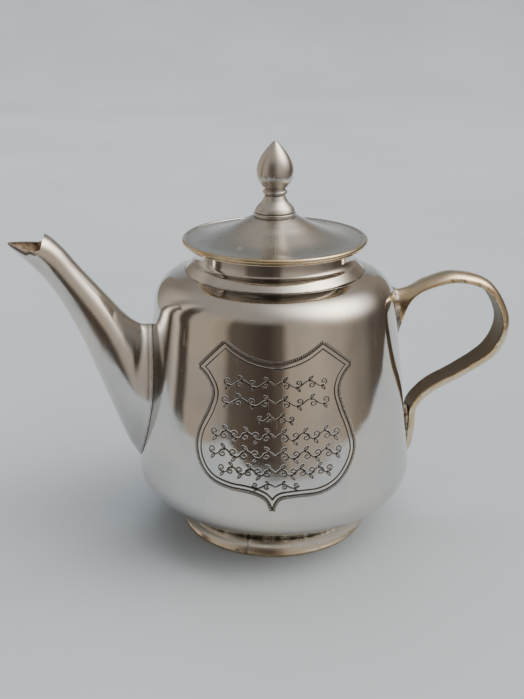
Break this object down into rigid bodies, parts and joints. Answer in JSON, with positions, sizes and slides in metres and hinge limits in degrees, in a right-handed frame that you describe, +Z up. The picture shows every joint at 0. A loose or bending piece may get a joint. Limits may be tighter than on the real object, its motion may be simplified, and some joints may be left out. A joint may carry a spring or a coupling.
{
  "type": "teapot",
  "caption": "Tapering round metal teapot on a skirted foot, with a long curved spout, an ear-shaped strap handle and a loose lift-off lid with a bud finial.",
  "frame": {"origin": "centre of the foot's bottom plane, on the axis of the body", "axes": "+Z up along the body's axis, +X towards the handle, -X towards the spout"},
  "size_m": [0.2052, 0.115, 0.1616],
  "materials": {
    "silver_plate": "worn polished silver plate",
    "silver_casting": "bright turned and cast nickel silver",
    "worn_brass": "brass showing through worn plate",
    "solder": "rough grey soft solder"
  },
  "bodies": {
    "pot": {"body_shell": "silver_plate", "base_plate": "silver_plate", "foot_ring": "silver_plate", "neck_collar": "silver_plate", "neck_lip": "silver_plate", "spout_near_half": "silver_plate", "spout_far_half": "silver_plate", "spout_solder": "solder", "handle": "silver_casting", "handle_upper_solder": "solder", "handle_lower_solder": "solder"},
    "lid": {"lid_dome": "silver_plate", "lid_wire": "worn_brass", "lid_bezel": "silver_plate", "finial_disc": "silver_casting", "finial": "silver_casting", "finial_stud": "worn_brass", "finial_washer": "worn_brass", "finial_nut": "worn_brass"}
  },
  "joints": [
    {"name": "lid_lift", "type": "slide", "parent": "pot", "child": "lid", "axis": [0, 0, 1], "range_m": [0, 0.045]}
  ]
}
